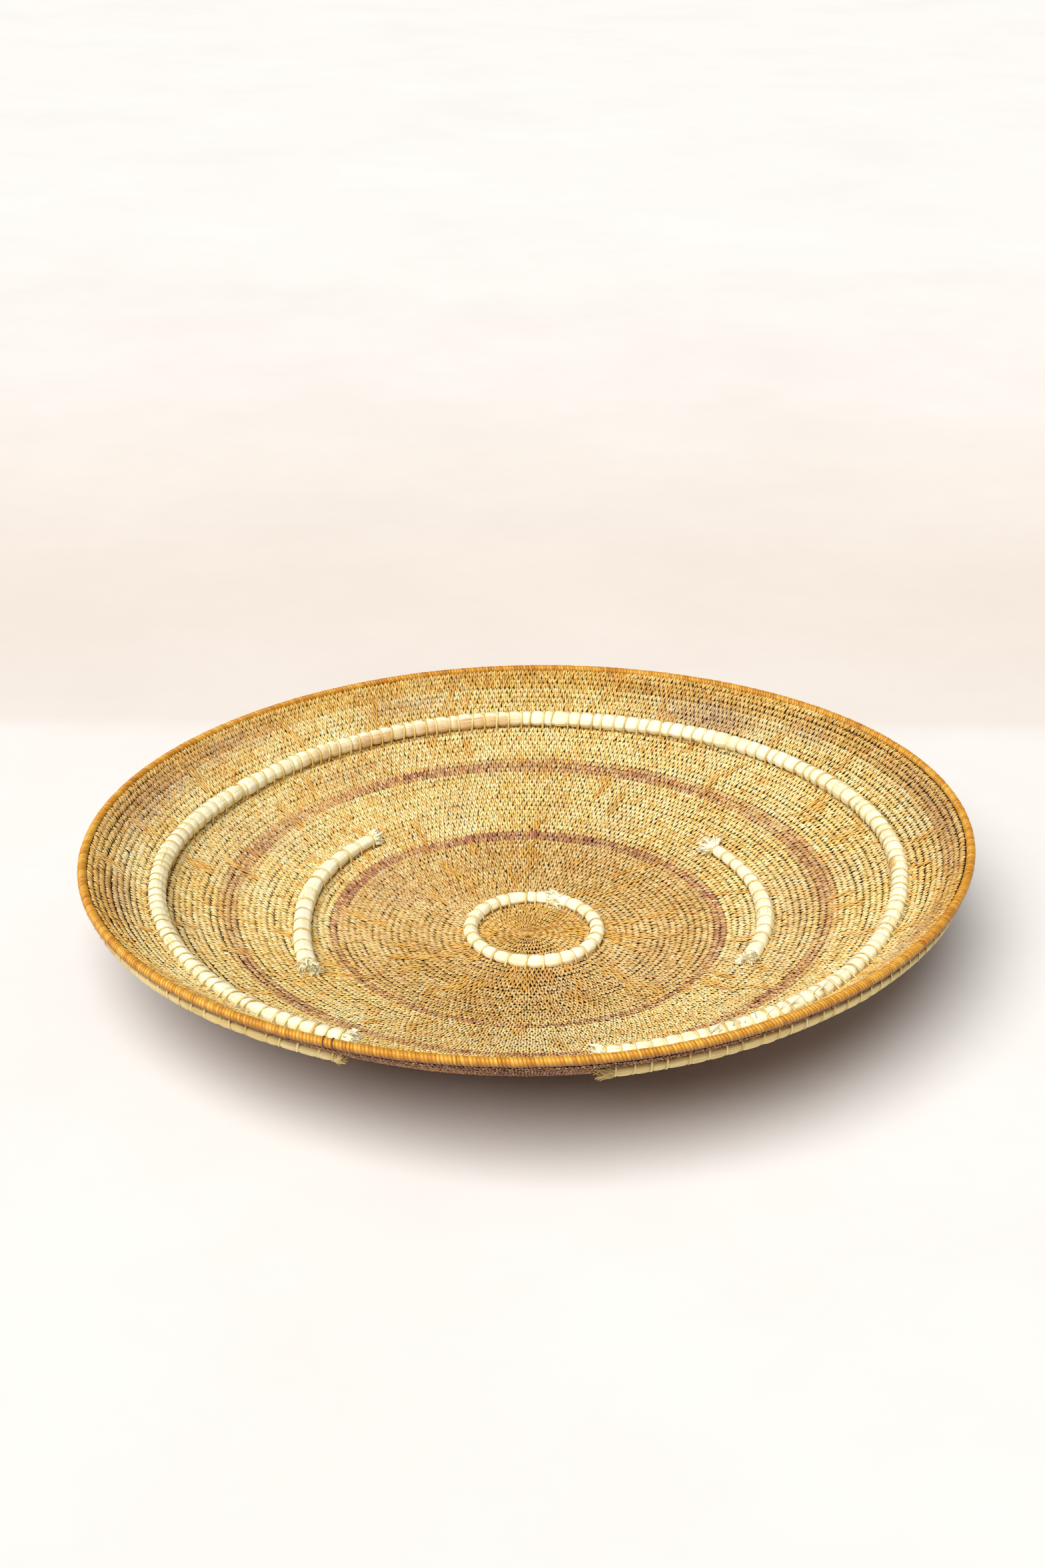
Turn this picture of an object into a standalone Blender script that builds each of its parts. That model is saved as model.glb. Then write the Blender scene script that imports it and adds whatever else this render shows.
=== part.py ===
"""A coiled winnowing basket with straw ropes sewn to both faces of its bowl.

The basket is turned about +Z and stands on the flat underside of its starting coils, on z = 0.
The front, where the large ropes leave a gap, faces -Y. Lengths are in metres.
"""

import math

import bmesh
import bpy
from mathutils import Vector

# The bowl
RIM_RADIUS = 0.276
WALL = 0.0052
FLAT_RADIUS = 0.060
BOWL_RISE = 0.065
BOWL_POWER = 1.55
FLARE_START = 0.205
FLARE_RISE = 0.014
# A hand-made rim is neither round nor level: (waves round the rim, cosine part, sine part).
RIM_OUT = ((2, 0.0045, 0.0036), (4, 0.0025, 0.0015))
RIM_UP = ((1, 0.0038, -0.0030), (3, -0.0005, 0.0018))
WARP_POWER = 3
SEGMENTS = 60
GAP = 0.0003

# Where one run of coils ends and the next splint starts, from the centre out
START_RADIUS = 0.036
INNER_DYE = (0.1215, 0.1300)
OUTER_DYE = (0.1880, 0.2005)
ROPE_ZONE_RADIUS = 0.2620
WALL_EDGE_RADIUS = 0.2740

# The rim: a grass core in a close-wrapped binding, open where it is sewn to the wall
BINDING_RADIUS = 0.0030
BINDING_THICKNESS = 0.0007
CORE_RADIUS = 0.0018
BINDING_MOUTH = math.radians(36)
BINDING_STEPS = 5

# Straw ropes and the flat cord that sews them down
ROPE_SIDES = 6
CORD_WIDTH = 0.0013
CORD_THICKNESS = 0.0005
CORD_CLEARANCE = 0.0004
CENTRE_ROPE = 0.0050
ARC_ROPE = 0.0052
INNER_ROPE = 0.0058
OUTER_ROPE = 0.0036
INNER_RING_RADIUS = 0.2385
OUTER_RING_RADIUS = 0.2700
LARGE_RING_SPAN = (-81.0, 246.0)
# Where the large inner ring was sewn off its circle: (degrees, reach in degrees, step out)
RING_WANDER = ((-124, 14, 0.0062), (-46, 16, 0.0045), (155, 20, -0.0035), (52, 18, 0.0025))
# How far the outer ring drops away from the rim towards its two ends, which flank this angle,
# and over how many degrees it does so on either side
OUTER_RING_DROP = 0.0100
OUTER_RING_OPENING = -97.0
DROP_END = 13.0
DROP_REACH = (30.0, 48.0)
LARGE_RING_TURNS = 46

COLOURS = {
    "golden_splint": (0.58, 0.35, 0.11),
    "natural_splint": (0.67, 0.50, 0.26),
    "dyed_splint": (0.26, 0.11, 0.07),
    "weathered_splint": (0.52, 0.36, 0.20),
    "rim_splint": (0.72, 0.40, 0.08),
    "grass_core": (0.30, 0.20, 0.10),
    "straw": (0.93, 0.86, 0.58),
    "dark_straw": (0.62, 0.52, 0.25),
    "cord": (0.80, 0.66, 0.30),
}
SPLINT_ROUGHNESS = 0.55


def bowl_height(radius):
    """Height of the inner face at a radius, before the rim's unevenness."""
    bowl = max(0.0, radius - FLAT_RADIUS) / (RIM_RADIUS - FLAT_RADIUS)
    flare = max(0.0, radius - FLARE_START) / (RIM_RADIUS - FLARE_START)
    return WALL + BOWL_RISE * bowl**BOWL_POWER + FLARE_RISE * flare**2


def bowl_slope(radius):
    """Rise of the inner face for each unit of radius."""
    bowl = max(0.0, radius - FLAT_RADIUS) / (RIM_RADIUS - FLAT_RADIUS)
    flare = max(0.0, radius - FLARE_START) / (RIM_RADIUS - FLARE_START)
    bowl_part = BOWL_RISE * BOWL_POWER * bowl ** (BOWL_POWER - 1) / (RIM_RADIUS - FLAT_RADIUS)
    flare_part = 2 * FLARE_RISE * flare / (RIM_RADIUS - FLARE_START)
    return bowl_part + flare_part


def waves(terms, angle):
    """Sum of the given waves round the rim."""
    return sum(c * math.cos(n * angle) + s * math.sin(n * angle) for n, c, s in terms)


def surface_point(radius, angle, lift=0.0):
    """A point off the inner face along its normal; a negative lift goes into the wall."""
    slope = bowl_slope(radius)
    length = math.hypot(1.0, slope)
    share = (max(0.0, radius - FLAT_RADIUS) / (RIM_RADIUS - FLAT_RADIUS)) ** WARP_POWER
    out = radius + share * waves(RIM_OUT, angle) - lift * slope / length
    up = bowl_height(radius) + share * waves(RIM_UP, angle) + lift / length
    return Vector((out * math.cos(angle), out * math.sin(angle), up))


def material(name):
    """The Principled material of one finish, made once."""
    found = bpy.data.materials.get(name)
    if found:
        return found
    made = bpy.data.materials.new(name)
    made.use_nodes = True
    shader = made.node_tree.nodes["Principled BSDF"]
    shader.inputs["Base Color"].default_value = (*COLOURS[name], 1.0)
    shader.inputs["Roughness"].default_value = SPLINT_ROUGHNESS
    shader.inputs["Metallic"].default_value = 0.0
    made.diffuse_color = (*COLOURS[name], 1.0)
    return made


def finish_object(name, builder, material_name):
    """Turn a filled bmesh into a named, smooth-shaded object that faces outwards."""
    bmesh.ops.recalc_face_normals(builder, faces=builder.faces)
    mesh = bpy.data.meshes.new(name)
    builder.to_mesh(mesh)
    builder.free()
    mesh.materials.append(material(material_name))
    mesh.shade_smooth()
    mesh.set_sharp_from_angle(angle=math.radians(35))
    made = bpy.data.objects.new(name, mesh)
    bpy.context.scene.collection.objects.link(made)
    return made


def join_loops(builder, loops, closed):
    """Skin a row of equal vertex loops; a closed row joins its last loop to its first."""
    pairs = list(zip(loops, loops[1:]))
    if closed:
        pairs.append((loops[-1], loops[0]))
    for first, second in pairs:
        count = len(first)
        for i in range(count):
            j = (i + 1) % count
            builder.faces.new((first[i], first[j], second[j], second[i]))


def coil_run(name, inner, outer, steps, material_name):
    """One run of coils: a ring of wall between two radii."""
    radii = [inner + (outer - inner) * i / steps for i in range(steps + 1)]
    outline = [(r, 0.0) for r in radii] + [(r, -WALL) for r in reversed(radii)]
    builder = bmesh.new()
    loops = []
    for k in range(SEGMENTS):
        angle = 2 * math.pi * k / SEGMENTS
        loops.append([builder.verts.new(surface_point(r, angle, lift)) for r, lift in outline])
    join_loops(builder, loops, closed=True)
    return finish_object(name, builder, material_name)


def start_coil():
    """The tight first coils, a disc with a flat underside that the basket stands on."""
    builder = bmesh.new()
    loops = []
    for lift in (-WALL, 0.0):
        ring = []
        for k in range(SEGMENTS):
            angle = 2 * math.pi * k / SEGMENTS
            ring.append(builder.verts.new(surface_point(START_RADIUS, angle, lift)))
        loops.append(ring)
    join_loops(builder, loops, closed=False)
    for ring in loops:
        builder.faces.new(ring)
    return finish_object("start_coil", builder, "golden_splint")


def rim_frame(angle):
    """Centre of the rim coil, and its two directions: up the wall and out of its inner face."""
    centre = surface_point(RIM_RADIUS, angle, -WALL / 2)
    normal = (surface_point(RIM_RADIUS, angle) - centre).normalized()
    along = Vector((-math.sin(angle), math.cos(angle), 0.0))
    return centre, normal.cross(along).normalized() * -1.0, normal


def rim_ring(name, outline, material_name):
    """A ring round the rim whose section is given as (distance, angle) about the coil's centre."""
    builder = bmesh.new()
    loops = []
    for k in range(SEGMENTS):
        centre, up_wall, normal = rim_frame(2 * math.pi * k / SEGMENTS)
        points = [
            centre + distance * (math.cos(turn) * up_wall + math.sin(turn) * normal)
            for distance, turn in outline
        ]
        loops.append([builder.verts.new(point) for point in points])
    join_loops(builder, loops, closed=True)
    return finish_object(name, builder, material_name)


def rim_binding():
    """The wrapped splint over the rim, open towards the wall that it is sewn to."""
    reach = math.pi - BINDING_MOUTH
    turns = [-reach + 2 * reach * i / BINDING_STEPS for i in range(BINDING_STEPS + 1)]
    outline = [(BINDING_RADIUS, turn) for turn in turns]
    outline += [(BINDING_RADIUS - BINDING_THICKNESS, turn) for turn in reversed(turns)]
    return rim_ring("rim_binding", outline, "rim_splint")


def rim_core():
    """The grass bundle inside the rim."""
    outline = [(CORE_RADIUS, 2 * math.pi * i / ROPE_SIDES) for i in range(ROPE_SIDES)]
    return rim_ring("rim_core", outline, "grass_core")


def rope_route(radius_at, start, end, count, rope, side):
    """Stations along a rope: (centre, along, across, normal) with the normal off the wall.

    side is 1 for a rope on the inner face and -1 for one on the outer face.
    """
    flat = math.cos(math.pi / ROPE_SIDES)
    wrapped = rope + CORD_CLEARANCE / flat + CORD_THICKNESS
    lift = wrapped * flat + 2 * GAP
    if side < 0:
        lift = -WALL - lift
    centres, normals = [], []
    for i in range(count + 1):
        angle = math.radians(start + (end - start) * i / count)
        radius = radius_at(math.degrees(angle))
        centre = surface_point(radius, angle, lift)
        centres.append(centre)
        normals.append((surface_point(radius, angle, lift + side * 0.01) - centre).normalized())
    stations = []
    for i, centre in enumerate(centres):
        along = (centres[min(i + 1, count)] - centres[max(i - 1, 0)]).normalized()
        across = along.cross(normals[i]).normalized()
        stations.append((centre, along, across, across.cross(along).normalized()))
    return stations


def around(station, distance, turn):
    """A point at a distance from a station's centre, turned about the rope."""
    centre, _, across, normal = station
    return centre + distance * (math.cos(turn) * normal + math.sin(turn) * across)


def rope(name, stations, radius, material_name, first_scale=1.0, last_scale=1.0):
    """A straw rope: a capped tube whose end stations may spread or thin."""
    builder = bmesh.new()
    loops = []
    for i, station in enumerate(stations):
        scale = 1.0
        if i == 0:
            scale = first_scale
        elif i == len(stations) - 1:
            scale = last_scale
        turns = [math.pi * (2 * k + 1) / ROPE_SIDES for k in range(ROPE_SIDES)]
        loops.append([builder.verts.new(around(station, radius * scale, t)) for t in turns])
    join_loops(builder, loops, closed=False)
    builder.faces.new(loops[0])
    builder.faces.new(loops[-1])
    return finish_object(name, builder, material_name)


def between(stations, place):
    """The station at a fractional place, on the straight run between its neighbours."""
    index = min(int(place), len(stations) - 2)
    share = place - index
    pairs = zip(stations[index], stations[index + 1])
    centre, along, across, normal = (a.lerp(b, share) for a, b in pairs)
    return centre, along.normalized(), across.normalized(), normal.normalized()


def lashing(name, stations, radius, turns, margin=0.6):
    """The flat cord wound round a rope in one helix, from one end to the other."""
    near = radius + CORD_CLEARANCE / math.cos(math.pi / ROPE_SIDES)
    far = near + CORD_THICKNESS
    last = len(stations) - 1 - margin
    steps = turns * ROPE_SIDES
    builder = bmesh.new()
    loops = []
    for k in range(steps + 1):
        place = margin + (last - margin) * k / steps
        station = between(stations, place)
        turn = math.pi * (2 * k + 1) / ROPE_SIDES
        half = station[1] * (CORD_WIDTH / 2)
        corners = (
            around(station, near, turn) - half,
            around(station, near, turn) + half,
            around(station, far, turn) + half,
            around(station, far, turn) - half,
        )
        loops.append([builder.verts.new(corner) for corner in corners])
    join_loops(builder, loops, closed=False)
    builder.faces.new(loops[0])
    builder.faces.new(loops[-1])
    return finish_object(name, builder, "cord")


def shifted(radius, degrees, x, y):
    """A radius seen from the basket's centre when its own centre lies off it."""
    return radius + x * math.cos(math.radians(degrees)) + y * math.sin(math.radians(degrees))


def angle_off(degrees, middle):
    """The angle from a middle, between -180 and 180 degrees."""
    return (degrees - middle + 180.0) % 360.0 - 180.0


def centre_radius(degrees):
    """The small ring sits a little off the basket's centre."""
    radius = 0.0422 + 0.0035 * math.cos(math.radians(degrees - 55.0))
    return shifted(radius, degrees, 0.0018, -0.0012)


def left_radius(degrees):
    """The left arc keeps its distance, then leans outwards over its last stretch."""
    radius = 0.1510 + 0.0110 * max(0.0, (degrees - 180.0) / 31.0) ** 2
    return shifted(radius, degrees, 0.0028, -0.0020)


def right_radius(degrees):
    """The right arc, with its lower end curling inwards."""
    radius = 0.1575 - 0.0030 * max(0.0, -degrees / 26.0) ** 2
    return shifted(radius, degrees, -0.0016, -0.0055)


def inner_ring_radius(degrees):
    """The large ring wanders slightly, as it was sewn by eye."""
    radius = INNER_RING_RADIUS
    for middle, reach, step in RING_WANDER:
        radius += step * math.exp(-((angle_off(degrees, middle) / reach) ** 2))
    return shifted(radius, degrees, 0.0004, -0.0038)


def outer_ring_radius(degrees):
    """The ring under the wall runs close to the rim and drops away from it at both ends."""
    off = angle_off(degrees, OUTER_RING_OPENING)
    reach = DROP_REACH[1] if off > 0 else DROP_REACH[0]
    drop = min(1.0, max(0.0, (reach - abs(off)) / (reach - DROP_END)))
    return OUTER_RING_RADIUS - OUTER_RING_DROP * drop * drop * (3.0 - 2.0 * drop)


def sewn_rope(label, radius_at, span, stations, radius, turns, side=1, straw="straw", ends=(1.0, 1.0)):
    """A rope and the cord that holds it, as two pieces."""
    route = rope_route(radius_at, span[0], span[1], stations, radius, side)
    rope(f"{label}_rope", route, radius, straw, *ends)
    lashing(f"{label}_lashing", route, radius, turns)


def main():
    for old in list(bpy.data.objects):
        bpy.data.objects.remove(old, do_unlink=True)

    start_coil()
    coil_run("floor_coils", START_RADIUS + GAP, INNER_DYE[0], 2, "natural_splint")
    coil_run("inner_dyed_coils", INNER_DYE[0] + GAP, INNER_DYE[1], 1, "dyed_splint")
    coil_run("lower_wall_coils", INNER_DYE[1] + GAP, OUTER_DYE[0], 3, "natural_splint")
    coil_run("outer_dyed_coils", OUTER_DYE[0] + GAP, OUTER_DYE[1], 1, "dyed_splint")
    coil_run("upper_wall_coils", OUTER_DYE[1] + GAP, ROPE_ZONE_RADIUS, 3, "natural_splint")
    coil_run("flare_coils", ROPE_ZONE_RADIUS + GAP, WALL_EDGE_RADIUS, 2, "weathered_splint")
    rim_core()
    rim_binding()

    sewn_rope("centre_ring", centre_radius, (70.0, 426.0), 36, CENTRE_ROPE, 26)
    sewn_rope("left_arc", left_radius, (137.0, 211.5), 14, ARC_ROPE, 14, ends=(1.1, 1.15))
    sewn_rope("right_arc", right_radius, (-26.0, 34.0), 12, ARC_ROPE, 13, ends=(1.1, 1.1))
    sewn_rope(
        "inner_ring", inner_ring_radius, LARGE_RING_SPAN, 54, INNER_ROPE, LARGE_RING_TURNS,
    )
    sewn_rope(
        "outer_ring", outer_ring_radius, LARGE_RING_SPAN, 54, OUTER_ROPE,
        LARGE_RING_TURNS, side=-1, straw="dark_straw",
    )


main()
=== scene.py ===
# %% [markdown]
# # A coiled winnowing basket
# This lesson dresses a plain model of a winnowing basket. The real one is a grass coil that
# winds out from the middle, sewn row to row with split roots, with straw ropes sewn on top.
# The plain model is loaded first and never moves. Everything that follows is built around it.

# %% Load the plain model
import math

import bpy
import numpy as np
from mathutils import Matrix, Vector


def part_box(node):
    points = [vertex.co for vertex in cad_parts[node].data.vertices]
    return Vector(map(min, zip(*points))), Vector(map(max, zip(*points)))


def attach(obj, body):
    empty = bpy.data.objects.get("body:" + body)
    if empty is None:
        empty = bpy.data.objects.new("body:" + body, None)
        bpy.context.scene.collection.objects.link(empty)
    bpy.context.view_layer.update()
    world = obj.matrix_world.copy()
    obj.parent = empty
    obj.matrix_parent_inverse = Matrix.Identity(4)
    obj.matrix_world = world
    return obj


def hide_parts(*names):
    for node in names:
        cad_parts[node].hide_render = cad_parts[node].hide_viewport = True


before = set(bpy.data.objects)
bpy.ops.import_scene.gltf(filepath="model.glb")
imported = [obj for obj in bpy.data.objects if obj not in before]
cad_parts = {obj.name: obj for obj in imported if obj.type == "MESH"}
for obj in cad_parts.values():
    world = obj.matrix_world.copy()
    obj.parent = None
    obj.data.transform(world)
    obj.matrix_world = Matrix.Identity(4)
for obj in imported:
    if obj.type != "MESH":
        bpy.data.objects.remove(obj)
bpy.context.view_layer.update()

# %% [markdown]
# ## The shape of the bowl
# The bowl is a turned shape: flat in the middle, then rising in a gentle power curve, with a
# steeper flare near the rim. Hand work leaves the rim a little out of round and out of level,
# so low waves are added that fade out towards the middle. Writing this as one function means
# that every stitch and rope below can ask where the surface is.

# %% One function for the surface
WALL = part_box("start_coil")[1].z
RIM_RADIUS = 0.276
FLAT_RADIUS = 0.060
BOWL_RISE = 0.065
BOWL_POWER = 1.55
FLARE_START = 0.205
FLARE_RISE = 0.014
RIM_OUT = ((2, 0.0045, 0.0036), (4, 0.0025, 0.0015))
RIM_UP = ((1, 0.0038, -0.0030), (3, -0.0005, 0.0018))


def share_between(radius, start):
    """How far a radius is from a start (0) to the rim (1)."""
    return np.maximum(0.0, radius - start) / (RIM_RADIUS - start)


def bowl_height(radius):
    """Height of the inner face."""
    bowl = share_between(radius, FLAT_RADIUS)
    flare = share_between(radius, FLARE_START)
    return WALL + BOWL_RISE * bowl**BOWL_POWER + FLARE_RISE * flare**2


def bowl_slope(radius):
    """Rise of the inner face for each unit of radius."""
    bowl = share_between(radius, FLAT_RADIUS)
    flare = share_between(radius, FLARE_START)
    bowl_part = BOWL_RISE * BOWL_POWER * bowl ** (BOWL_POWER - 1) / (RIM_RADIUS - FLAT_RADIUS)
    return bowl_part + 2 * FLARE_RISE * flare / (RIM_RADIUS - FLARE_START)


def waves(terms, angle):
    """Sum of the waves round the rim."""
    return sum(c * np.cos(n * angle) + s * np.sin(n * angle) for n, c, s in terms)


def surface(radius, angle, lift=0.0):
    """Points off the inner face along its normal; a negative lift goes into the wall."""
    radius, angle = np.broadcast_arrays(np.asarray(radius, float), np.asarray(angle, float))
    slope = bowl_slope(radius)
    length = np.hypot(1.0, slope)
    share = share_between(radius, FLAT_RADIUS) ** 3
    out = radius + share * waves(RIM_OUT, angle) - lift * slope / length
    up = bowl_height(radius) + share * waves(RIM_UP, angle) + lift / length
    return np.stack([out * np.cos(angle), out * np.sin(angle), up], axis=-1)


def angle_off(degrees, middle):
    """How far round an angle is from another, from -180 to 180."""
    return (degrees - middle + 180) % 360 - 180


def unit(vectors):
    """The same directions, one long."""
    return vectors / np.linalg.norm(vectors, axis=-1, keepdims=True)


def directions(radius, angle):
    """The surface's normal, and the way up the wall, at each place."""
    here = surface(radius, angle)
    normal = unit(surface(radius, angle, 0.001) - here)
    return normal, unit(surface(np.asarray(radius) + 0.0005, angle) - here)


print("rim height from the formula", round(float(bowl_height(RIM_RADIUS)), 4))

# %% [markdown]
# ## Rows of the coil
# The coil is about 4 mm thick, so the rows lie 4 mm apart along the curved wall, not along the
# radius. A table of wall length against radius turns one into the other.

# %% Measure along the wall
ROW = 0.0041
STITCH_PITCH = 0.0034
RADII = np.linspace(0.0, RIM_RADIUS, 1200)
LENGTHS = np.concatenate([[0.0], np.cumsum(np.hypot(1.0, bowl_slope(RADII[1:])) * np.diff(RADII))])


def row_at(radius):
    """The row, counted from the middle, that passes a radius."""
    return float(np.interp(radius, RADII, LENGTHS)) / ROW


def radius_of(row):
    """The radius of a row or of a fraction of one."""
    return np.interp(np.asarray(row) * ROW, LENGTHS, RADII)


print("rows up to the rim", round(row_at(RIM_RADIUS), 1))

# %% [markdown]
# ## Small helpers for nodes
# Both materials and Geometry Nodes are node trees, so one helper can add a node, set its
# options and fill its sockets, whether with a value or with a link from another node.

# %% Node helpers


def add(tree, kind, inputs=None, **options):
    """Add a node; inputs may be values or sockets to link from."""
    made = tree.nodes.new(kind)
    for key, value in options.items():
        setattr(made, key, value)
    for key, value in (inputs or {}).items():
        if isinstance(value, bpy.types.NodeSocket):
            tree.links.new(value, made.inputs[key])
        else:
            made.inputs[key].default_value = value
    return made


def calc(tree, operation, first, second=0.0, third=0.0):
    """A Math node's result, in shader and geometry trees alike."""
    return add(
        tree, "ShaderNodeMath", {0: first, 1: second, 2: third}, operation=operation
    ).outputs[0]


def times(tree, first, second):
    """A product."""
    return calc(tree, "MULTIPLY", first, second)


def mix_colours(tree, share, first, second, blend="MIX"):
    """Two colours mixed by a share."""
    return add(
        tree, "ShaderNodeMix", {0: share, 6: first, 7: second}, data_type="RGBA", blend_type=blend
    ).outputs[2]


def srgb(red, green, blue):
    """A colour as seen on a screen, 0 to 255, turned into the linear values that nodes take."""
    parts = [c / 255 for c in (red, green, blue)]
    return (*[c / 12.92 if c <= 0.04045 else ((c + 0.055) / 1.055) ** 2.4 for c in parts], 1.0)


# %% [markdown]
# ## Split root that has been sewn
# Each stitch is a strip of split root: its colour changes from stitch to stitch, fine fibres
# run along it, and painted shade darkens it where it dives between its neighbours and along
# its edges. The mesh below carries what the material reads: `tone` is one random number for each
# strip and `grain` the place across and along it. First come the parts that the materials share.

# %% Parts of a material


def attribute(tree, name, output="Fac"):
    """A value that the mesh carries."""
    return add(tree, "ShaderNodeAttribute", attribute_name=name).outputs[output]


def noise(tree, vector, scale, detail=3.0, roughness=0.55):
    """A noise pattern's grey value."""
    return add(
        tree,
        "ShaderNodeTexNoise",
        {"Vector": vector, "Scale": scale, "Detail": detail, "Roughness": roughness},
    ).outputs[0]


def ramp(tree, value, *stops):
    """A colour ramp from (place, colour) stops."""
    made = add(tree, "ShaderNodeValToRGB", {0: value})
    elements = made.color_ramp.elements
    while len(elements) < len(stops):
        elements.new(0.5)
    for element, (place, colour) in zip(elements, stops):
        element.position = place
        element.color = colour
    return made.outputs[0]


def grey(value):
    """A grey as a colour."""
    return (value, value, value, 1.0)


BLACK, WHITE = grey(0.0), grey(1.0)


def new_material(name, roughness):
    """An empty material with its Principled shader, ready for nodes."""
    made = bpy.data.materials.new(name)
    made.use_nodes = True
    tree = made.node_tree
    shader = tree.nodes["Principled BSDF"]
    shader.inputs["Roughness"].default_value = roughness
    return made, tree, shader


def finish_shader(tree, shader, colour, height, strength, distance, rough=None):
    """Plug in the colour, the relief and, where it varies, the roughness."""
    tree.links.new(colour, shader.inputs["Base Color"])
    inputs = {"Strength": strength, "Distance": distance, "Height": height}
    tree.links.new(add(tree, "ShaderNodeBump", inputs).outputs[0], shader.inputs["Normal"])
    if rough is not None:
        tree.links.new(rough, shader.inputs["Roughness"])


def object_place(tree):
    """The object's own coordinates."""
    return add(tree, "ShaderNodeTexCoord").outputs["Object"]


def fibre_parts(tree, stretch, scale):
    """The place across and along a strip, its tone, and fine fibres that run along it."""
    across, along, _ = add(
        tree, "ShaderNodeSeparateXYZ", {0: attribute(tree, "grain", "Vector")}
    ).outputs
    tone = attribute(tree, "tone")
    parts = [times(tree, part, by) for part, by in zip((across, along, tone), stretch)]
    place = add(tree, "ShaderNodeCombineXYZ", dict(enumerate(parts))).outputs[0]
    return across, along, tone, noise(tree, place, scale, 4.0, 0.7)


# %% [markdown]
# ## Colours in layers
# Three tones come first. `gold`, `dye` and `worn`, also on the mesh, say how fresh, dyed and
# weathered each strip is. Painted shade at each strip's ends and edges, and dust, are mixed in last.

# %% The splint material
SPLINT_ROUGHNESS = 0.55
WARM, GREENISH = srgb(255, 214, 178), srgb(226, 228, 178)
FRESH = srgb(218, 156, 56), srgb(246, 202, 102)
DYE = srgb(146, 82, 66), srgb(206, 144, 108)
WEATHER, FIBRE = srgb(176, 136, 112), srgb(226, 206, 168)
# The first colour here is painted shade for where a strip dives between its neighbours; the second is
# dust.
GAP_SHADE, DUST = srgb(96, 56, 20), srgb(244, 236, 222)


def splint_material(name, deep, middle, pale, weather):
    """Sewn split root in three tones, with weathered patches over a share of it."""
    made, tree, shader = new_material(name, SPLINT_ROUGHNESS)
    place = object_place(tree)
    across, along, tone, fibres = fibre_parts(tree, (2.2, 1.0, 90.0), 1.6)
    patches = noise(tree, place, 21.0, 5.0, 0.65)
    mixed = calc(tree, "MULTIPLY_ADD", tone, 0.34, times(tree, patches, 0.66))
    base = ramp(tree, mixed, (0.28, deep), (0.47, middle), (0.66, pale))
    hue = calc(tree, "FRACT", times(tree, tone, 7.3))
    tint = ramp(tree, hue, (0.10, WARM), (0.30, WHITE), (0.75, WHITE), (0.95, GREENISH))
    base = mix_colours(tree, 0.5, base, tint, "MULTIPLY")
    for mark, colours in (("gold", FRESH), ("dye", DYE)):
        base = mix_colours(tree, attribute(tree, mark), base, mix_colours(tree, tone, *colours))
    worn = ramp(tree, noise(tree, place, 9.0, 5.0, 0.65), (0.52, BLACK), (0.72, grey(0.8)))
    worn = calc(tree, "MAXIMUM", times(tree, worn, weather), attribute(tree, "worn"))
    worn = times(tree, worn, calc(tree, "ADD", times(tree, hue, 0.8), 0.35))
    base = mix_colours(tree, worn, base, WEATHER)
    fibre_tint = ramp(tree, fibres, (0.30, FIBRE), (0.55, WHITE))
    base = mix_colours(tree, 0.8, base, fibre_tint, "MULTIPLY")
    # Painted shade: each strip darkens towards its inner end, where it dives between its neighbours, and
    # along its edges.
    ends = calc(tree, "POWER", calc(tree, "MAXIMUM", times(tree, along, -2.0), 0.0), 4.0)
    edge_shade = calc(tree, "POWER", calc(tree, "ABSOLUTE", across), 5.0)
    gap_shade = calc(tree, "MAXIMUM", times(tree, ends, 0.5), times(tree, edge_shade, 0.25))
    base = mix_colours(tree, gap_shade, base, GAP_SHADE)
    flecks = ramp(tree, noise(tree, place, 520.0, 1.0, 0.4), (0.70, BLACK), (0.73, WHITE))
    base = mix_colours(tree, flecks, base, DUST)
    rough = calc(tree, "MULTIPLY_ADD", fibres, 0.25, SPLINT_ROUGHNESS - 0.12)
    finish_shader(tree, shader, base, fibres, 0.35, 0.0003, rough)
    return made


def tones(*colours):
    """Screen colours made linear."""
    return [srgb(*colour) for colour in colours]


SPLINTS = (
    ("golden_splint", 0.4, (204, 152, 66), (232, 188, 100), (246, 216, 142)),
    ("floor_splint", 0.6, (204, 158, 84), (230, 194, 120), (246, 220, 160)),
    ("natural_splint", 0.45, (232, 188, 98), (251, 224, 144), (255, 243, 190)),
    ("dyed_splint", 0.4, (222, 170, 92), (242, 206, 130), (252, 228, 168)),
    ("weathered_splint", 0.7, (200, 150, 62), (232, 190, 96), (250, 220, 140)),
    # The outside tones are browner, as that face is weathered, and darkened further as painted shade,
    # since the outer face looks down, away from the lamp.
    ("outside_splint", 0.5, (116, 72, 48), (154, 104, 68), (194, 144, 98)),
)
splints = [splint_material(name, *tones(*colours), weather) for name, weather, *colours in SPLINTS]
golden, floor_splint, natural, dyed, worn_splint, outside = splints
print("splint materials", [m.name for m in splints])

# %% [markdown]
# ## A tree that sews
# Each face has nineteen thousand stitches of two strands, far too many to place by hand, and
# Geometry Nodes are made for this. Python works out the seats, one point for each strand with
# its own directions, and the tree bends one small prism into a strand and copies it to every
# seat. A prism has closed ends and only twenty triangles, so the whole basket stays light.

# %% Shared parts of the trees


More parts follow.
